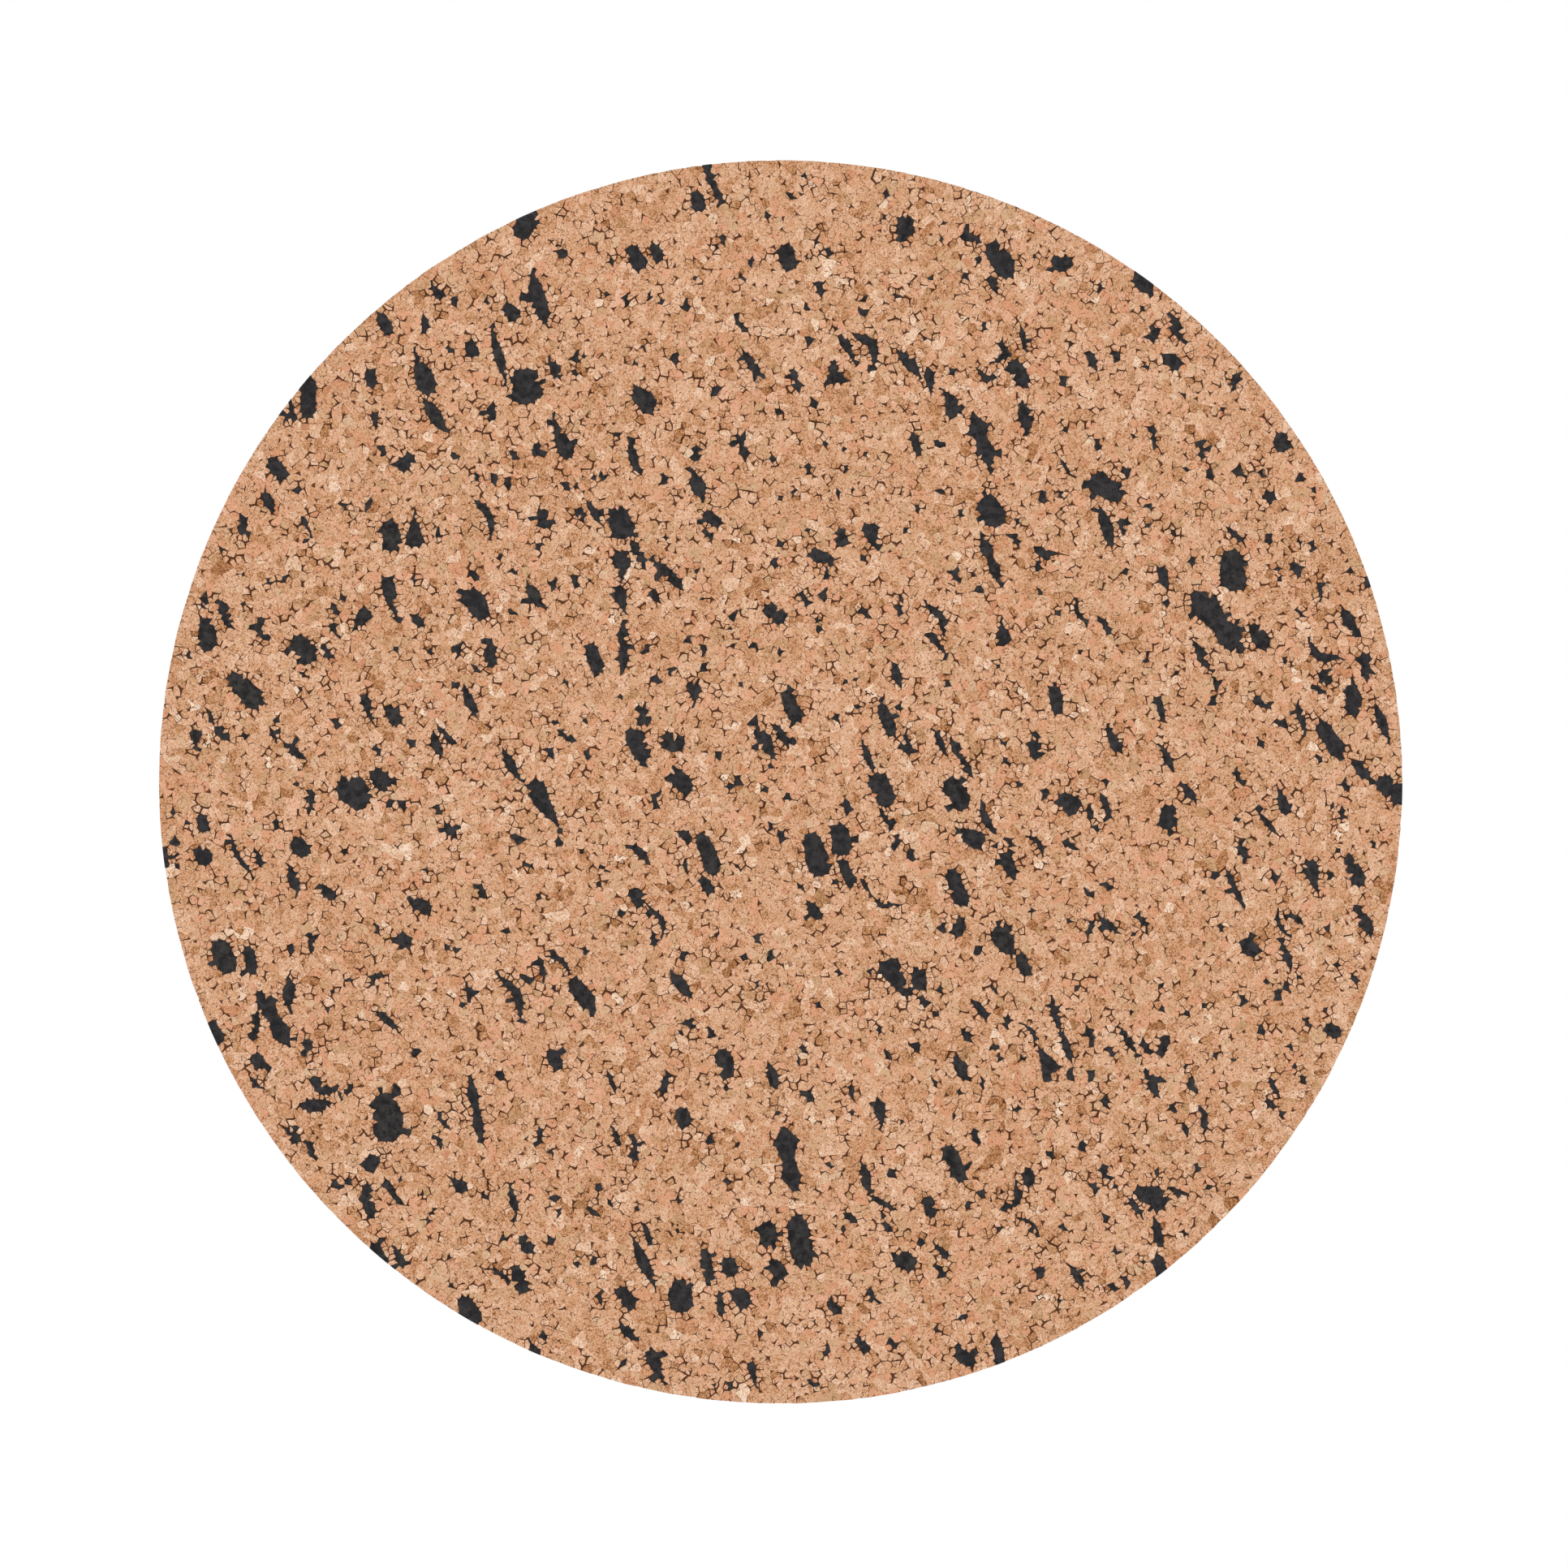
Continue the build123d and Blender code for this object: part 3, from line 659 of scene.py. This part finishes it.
# ---------------------------------------------------------------- materials
class Paint:
    """A material in the making, with short calls for the nodes that it uses."""

    def __init__(self, name, metallic=0.0, specular=0.5):
        self.material = bpy.data.materials.new(name)
        self.material.use_nodes = True
        self.tree = self.material.node_tree
        self.surface = self.tree.nodes["Principled BSDF"]
        self.surface.inputs["Metallic"].default_value = metallic
        self.surface.inputs["Specular IOR Level"].default_value = specular
        self.place = self.node("ShaderNodeTexCoord").outputs["Object"]

    def node(self, kind, **values):
        made = self.tree.nodes.new(kind)
        for name, value in values.items():
            setattr(made, name, value)
        return made

    def link(self, value, socket):
        if isinstance(value, bpy.types.NodeSocket):
            self.tree.links.new(value, socket)
        else:
            socket.default_value = value

    def attribute(self, name):
        return self.node("ShaderNodeAttribute", attribute_name=name).outputs["Fac"]

    def stretched(self, x, y, z, at=None):
        made = self.node("ShaderNodeMapping")
        self.link(at or self.place, made.inputs["Vector"])
        made.inputs["Scale"].default_value = (x, y, z)
        return made.outputs["Vector"]

    def noise(self, size_mm, detail=3.0, rough=0.55, at=None):
        """Noise from 0 to 1, with features about size_mm across."""
        made = self.node("ShaderNodeTexNoise")
        self.link(at or self.place, made.inputs["Vector"])
        made.inputs["Scale"].default_value = 1 / (size_mm * MM)
        made.inputs["Detail"].default_value = detail
        made.inputs["Roughness"].default_value = rough
        return made.outputs["Fac"]

    def cells(self, size_mm, output="Distance", feature="F1", at=None):
        made = self.node("ShaderNodeTexVoronoi", feature=feature)
        self.link(at or self.place, made.inputs["Vector"])
        made.inputs["Scale"].default_value = 1 / (size_mm * MM)
        return made.outputs[output]

    def math(self, operation, a, b=0.0, clamp=False):
        made = self.node("ShaderNodeMath", operation=operation, use_clamp=clamp)
        self.link(a, made.inputs[0])
        self.link(b, made.inputs[1])
        return made.outputs[0]

    def span(self, value, low, high, to_low=0.0, to_high=1.0):
        """Value from low to high, as a smooth step from to_low to to_high."""
        made = self.node("ShaderNodeMapRange", interpolation_type="SMOOTHSTEP")
        for socket, x in zip(made.inputs, (value, low, high, to_low, to_high)):
            self.link(x, socket)
        return made.outputs[0]

    def ramp(self, value, stops):
        made = self.node("ShaderNodeValToRGB")
        self.link(value, made.inputs[0])
        while len(made.color_ramp.elements) < len(stops):
            made.color_ramp.elements.new(0.5)
        for element, (at, colour) in zip(made.color_ramp.elements, stops):
            element.position = at
            element.color = srgb(*colour)
        return made.outputs[0]

    def mix(self, share, a, b, blend="MIX"):
        made = self.node("ShaderNodeMix", data_type="RGBA", blend_type=blend)
        colours = [s for s in made.inputs if s.type == "RGBA"]
        self.link(share, made.inputs[0])
        self.link(a, colours[0])
        self.link(b, colours[1])
        return [s for s in made.outputs if s.type == "RGBA"][0]

    def bump(self, height, depth_mm, normal=None):
        made = self.node("ShaderNodeBump")
        made.inputs["Distance"].default_value = depth_mm * MM
        self.link(height, made.inputs["Height"])
        if normal is not None:
            self.link(normal, made.inputs["Normal"])
        return made.outputs["Normal"]

    def done(self, colour, normal, roughness):
        self.link(colour, self.surface.inputs["Base Color"])
        self.link(normal, self.surface.inputs["Normal"])
        self.link(roughness, self.surface.inputs["Roughness"])
        return self.material


def srgb(r, g, b):
    """An sRGB colour of 0 to 255 as linear RGBA."""
    return (*(((x / 255 + 0.055) / 1.055) ** 2.4 for x in (r, g, b)), 1.0)


CORK_STOPS = (
    (0.0, (108, 60, 24)),
    (0.25, (161, 109, 66)),
    (0.45, (191, 141, 103)),
    (0.62, (204, 158, 125)),
    (0.8, (215, 176, 147)),
    (1.0, (230, 208, 184)),
)
# Painted shade: the dark brown that fills the cracks between granules and darkens the walls near
# a pit
CREVICE_SHADE = srgb(84, 42, 12)


def cork_colour(paint, tone, tint):
    """A granule's colour, with the fine cells, streaks and specks of cork in it. Each granule
    has its own stretch of grain, turned its own way."""
    offset = paint.node("ShaderNodeCombineXYZ")
    paint.link(tone, offset.inputs["X"])
    paint.link(tint, offset.inputs["Z"])
    turned = paint.node("ShaderNodeVectorRotate", rotation_type="Y_AXIS")
    paint.link(paint.place, turned.inputs["Vector"])
    paint.link(offset.outputs[0], turned.inputs["Center"])
    paint.link(paint.math("MULTIPLY", tint, 40.0), turned.inputs["Angle"])
    own = turned.outputs[0]
    streak = paint.noise(0.55, 3.0, 0.6, paint.stretched(0.35, 1.0, 1.0, own))
    grain = paint.noise(0.8, 4.0, 0.62, own)
    tone = paint.math("ADD", tone, paint.span(grain, 0.25, 0.75, -0.12, 0.11))
    tone = paint.math("ADD", tone, paint.span(streak, 0.3, 0.7, -0.08, 0.07))
    fine = paint.noise(0.34, 3.0, 0.6, own)
    tone = paint.math("ADD", tone, paint.span(fine, 0.3, 0.7, -0.25, 0.23), clamp=True)
    colour = paint.ramp(tone, CORK_STOPS)
    red = paint.span(tint, 0.78, 1.0, 0.0, 0.55)
    colour = paint.mix(red, colour, srgb(206, 142, 108))
    olive = paint.span(tint, 0.16, 0.0, 0.0, 0.4)
    colour = paint.mix(olive, colour, srgb(182, 152, 112))
    for size_mm, width, share in ((1.9, 0.075, 0.49), (1.1, 0.07, 0.57)):
        seam = paint.cells(size_mm, "Distance", "DISTANCE_TO_EDGE", own)
        seam = paint.math("ADD", seam, paint.span(fine, 0.3, 0.7, -0.04, 0.04))
        seam = paint.span(seam, width, width / 3, 0.0, 0.8)
        patch = paint.span(paint.noise(size_mm * 0.5, 1.0, at=own), share, share + 0.1)
        colour = paint.mix(paint.math("MULTIPLY", seam, patch), colour, srgb(118, 66, 28))
    return colour, grain, fine


def cork_face_material():
    paint = Paint("cork_face_paint", specular=0.3)
    colour, grain, fine = cork_colour(
        paint, paint.attribute("tone"), paint.attribute("tint")
    )
    # Painted shade: the crevice colour fills the open cracks and the fringe around the chips, and
    # darkens the walls of a crack near a pit
    rough_edge = paint.span(grain, 0.3, 0.7, -0.1, 0.1)
    crack_shade = paint.math("ADD", paint.attribute("crack_shade"), rough_edge)
    crack_shade = paint.span(crack_shade, 0.66, 0.82, 0.0, 0.85)
    near_pit_shade = paint.span(paint.attribute("crack_shade"), 0.3, 0.55, 0.0, 0.9)
    wall = paint.math("MULTIPLY", paint.attribute("wall"), near_pit_shade)
    colour = paint.mix(paint.math("MAXIMUM", crack_shade, wall), colour, CREVICE_SHADE)
    normal = paint.bump(fine, 0.05, paint.bump(grain, 0.12))
    return paint.done(colour, normal, paint.span(fine, 0.3, 0.7, 0.96, 0.8))


def cork_cut_material():
    """The cut rim and the back of the cork, where granules show from the side."""
    paint = Paint("cork_cut_paint", specular=0.25)
    random = paint.node("ShaderNodeSeparateColor")
    paint.link(paint.cells(2.3, "Color"), random.inputs[0])
    tone = paint.span(random.outputs[0], 0.0, 1.0, 0.3, 0.74)
    colour, grain, fine = cork_colour(paint, tone, random.outputs[1])
    # Painted shade: patches of the cell edges take the crevice colour, as the dark of the cracks
    # between granules on the cut
    edge = paint.cells(2.3, "Distance", "DISTANCE_TO_EDGE")
    patch = paint.span(paint.noise(2.2), 0.45, 0.6)
    crack_shade = paint.math("MULTIPLY", paint.span(edge, 0.11, 0.02, 0.0, 0.9), patch)
    colour = paint.mix(crack_shade, colour, CREVICE_SHADE)
    hollow = paint.math("SUBTRACT", 1.0, crack_shade)
    normal = paint.bump(grain, 0.2, paint.bump(hollow, 0.4))
    return paint.done(colour, normal, paint.span(fine, 0.3, 0.7, 0.98, 0.84))


def rubber_material():
    paint = Paint("chip_rubber_paint", specular=0.2)
    lump = paint.noise(1.6, 4.0, 0.6)
    colour = paint.mix(paint.span(lump, 0.3, 0.7), srgb(22, 20, 20), srgb(54, 50, 50))
    shade = paint.span(paint.attribute("tone"), 0.0, 1.0, 0.0, 0.35)
    colour = paint.mix(shade, colour, srgb(36, 36, 40))
    speck = paint.span(paint.noise(0.35, 2.0), 0.72, 0.8, 0.0, 0.5)
    colour = paint.mix(speck, colour, srgb(92, 86, 84))
    crease = paint.math("ABSOLUTE", paint.math("SUBTRACT", paint.noise(3.2, 2.0), 0.5))
    crease = paint.span(crease, 0.0, 0.02)
    normal = paint.bump(crease, 0.15, paint.bump(lump, 0.35))
    rough = paint.span(lump, 0.3, 0.7, 0.88, 0.7)
    return paint.done(colour, paint.bump(paint.noise(0.25), 0.04, normal), rough)


def softboard_material():
    """Pressed wood fibre, in layers, with darker and paler strands."""
    paint = Paint("softboard_paint", specular=0.2)
    layers = paint.noise(1.4, 5.0, 0.7, paint.stretched(0.35, 2.2, 0.35))
    strands = paint.noise(0.45, 3.0, 0.7, paint.stretched(0.35, 1.8, 0.35))
    browns = ((0.32, (112, 80, 52)), (0.5, (158, 122, 86)), (0.68, (192, 160, 122)))
    colour = paint.ramp(layers, browns)
    colour = paint.mix(paint.span(strands, 0.56, 0.66, 0.0, 0.7), colour, srgb(92, 62, 40))
    colour = paint.mix(paint.span(strands, 0.42, 0.34, 0.0, 0.5), colour, srgb(214, 186, 148))
    normal = paint.bump(strands, 0.25, paint.bump(layers, 0.35))
    return paint.done(colour, normal, paint.span(strands, 0.3, 0.7, 0.98, 0.86))


def paper_material():
    """Brown kraft paper, with long fibres, dark flecks and soft wrinkles."""
    paint = Paint("kraft_paper_paint", specular=0.3)
    mottle = paint.noise(5.0, 5.0, 0.7)
    fibre = paint.noise(0.8, 4.0, 0.65, paint.stretched(0.16, 1.0, 1.0))
    colour = paint.ramp(mottle, ((0.2, (160, 120, 82)), (0.8, (180, 141, 100))))
    colour = paint.mix(paint.span(fibre, 0.54, 0.66, 0.0, 0.4), colour, srgb(122, 84, 54))
    colour = paint.mix(paint.span(fibre, 0.44, 0.34, 0.0, 0.35), colour, srgb(210, 178, 136))
    fleck = paint.span(paint.noise(0.7, 1.0), 0.76, 0.8, 0.0, 0.6)
    colour = paint.mix(fleck, colour, srgb(96, 62, 38))
    normal = paint.bump(fibre, 0.04, paint.bump(paint.noise(28.0, 2.0), 0.5))
    return paint.done(colour, normal, paint.span(fibre, 0.3, 0.7, 0.92, 0.76))


def steel_material(name, light, dark, grain_mm):
    """Plated steel: drawn grain, soft blotches in the plating and fine scratches."""
    paint = Paint(name, metallic=1.0)
    drawn = paint.noise(grain_mm, 4.0, 0.7, paint.stretched(0.05, 1.0, 1.0))
    blotch = paint.noise(4.0, 3.0)
    drawn_part = paint.math("MULTIPLY", drawn, 0.7)
    shade = paint.math("ADD", drawn_part, paint.math("MULTIPLY", blotch, 0.3))
    colour = paint.mix(paint.span(shade, 0.38, 0.62), srgb(*dark), srgb(*light))
    rough = paint.span(drawn, 0.3, 0.7, 0.26, 0.5)
    scratch = paint.span(paint.noise(0.5, 2.0, 0.5, paint.stretched(1, 1, 0.05)), 0.68, 0.74)
    normal = paint.bump(scratch, -0.02, paint.bump(drawn, 0.04))
    return paint.done(colour, normal, rough)


def bumper_material():
    paint = Paint("bumper_paint", specular=0.4)
    dust = paint.noise(2.5, 4.0, 0.65)
    colour = paint.mix(paint.span(dust, 0.45, 0.8), srgb(38, 38, 40), srgb(66, 64, 62))
    normal = paint.bump(paint.noise(0.3), 0.03, paint.bump(dust, 0.05))
    return paint.done(colour, normal, paint.span(dust, 0.45, 0.8, 0.52, 0.8))


def film_material():
    paint = Paint("adhesive_paint", specular=0.5)
    pool = paint.noise(3.5, 4.0, 0.6)
    colour = paint.ramp(pool, ((0.3, (206, 190, 150)), (0.7, (228, 218, 188))))
    return paint.done(colour, paint.bump(pool, 0.08), paint.span(pool, 0.3, 0.7, 0.36, 0.56))


def floor_material():
    paint = Paint("floor_paint", specular=0.1)
    cloud = paint.noise(60.0)
    colour = paint.mix(cloud, srgb(244, 244, 243), srgb(250, 250, 250))
    return paint.done(colour, paint.bump(cloud, 0.2), paint.span(cloud, 0.3, 0.7, 0.86, 0.94))


# ---------------------------------------------------------------- the object
outlines = front_outlines("rubber_chips")
face = Face(outlines)
cork = make_cork(face, [cork_face_material(), cork_cut_material()])
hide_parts("cork_face")
rubber = make_rubber(face, [rubber_material()])
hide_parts("rubber_chips")

zinc = steel_material("zinc_paint", (202, 204, 206), (144, 146, 150), 0.45)
passivated = steel_material("passivated_paint", (212, 196, 144), (160, 140, 94), 0.3)
bumper_paint = bumper_material()
for node, paint in {
    "adhesive_film": film_material(),
    "core_board": softboard_material(),
    "backing_paper": paper_material(),
    "hanger_plate": zinc,
    "hanger_screws": passivated,
    "bumper_centre": bumper_paint,
    "bumper_upper_left": bumper_paint,
    "bumper_upper_right": bumper_paint,
    "bumper_lower_left": bumper_paint,
    "bumper_lower_right": bumper_paint,
}.items():
    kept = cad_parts[node].data.materials
    kept.clear()
    kept.append(paint)

# ---------------------------------------------------------------- floor, light and camera
FLOOR_Z, FLOOR_R = -0.8, 2.4
VIEW_W, LENS, SENSOR = 0.3782, 100.0, 36.0
VIEW_X, VIEW_Z = 0.0008, -0.0005

mesh = bpy.data.meshes.new("floor")
turns = [2 * math.pi * k / 96 for k in range(96)]
ring = [(FLOOR_R * math.cos(t), FLOOR_R * math.sin(t), FLOOR_Z) for t in turns]
mesh.from_pydata(ring, [], [list(range(len(ring)))])
mesh.materials.append(floor_material())
floor = bpy.data.objects.new("floor", mesh)
bpy.context.scene.collection.objects.link(floor)


def area_light(name, place, size, power):
    """A square soft light that points at the board."""
    data = bpy.data.lights.new(name, "AREA")
    data.size, data.energy = size, power
    lamp = bpy.data.objects.new(name, data)
    lamp.location = place
    lamp.rotation_euler = (-Vector(place)).to_track_quat("-Z", "Y").to_euler()
    bpy.context.scene.collection.objects.link(lamp)


area_light("key", (-0.9, -1.6, 1.3), 0.8, 9.0)
area_light("fill", (1.4, -1.5, 0.3), 1.0, 4.0)
area_light("back_fill", (0.6, 1.8, 1.0), 1.0, 9.0)

scene = bpy.context.scene
world = bpy.data.worlds.new("studio")
world.use_nodes = True
world.node_tree.nodes["Background"].inputs["Color"].default_value = (1, 1, 1, 1)
world.node_tree.nodes["Background"].inputs["Strength"].default_value = 1.0
scene.world = world
scene.view_settings.view_transform = "Standard"

camera_data = bpy.data.cameras.new("camera")
camera_data.lens, camera_data.sensor_width = LENS, SENSOR
camera_data.clip_start, camera_data.clip_end = 0.05, 20.0
camera = bpy.data.objects.new("camera", camera_data)
camera.location = (VIEW_X, sheet_low.y - VIEW_W * LENS / SENSOR, VIEW_Z)
camera.rotation_euler = (math.radians(90), 0, 0)
scene.collection.objects.link(camera)
scene.camera = camera
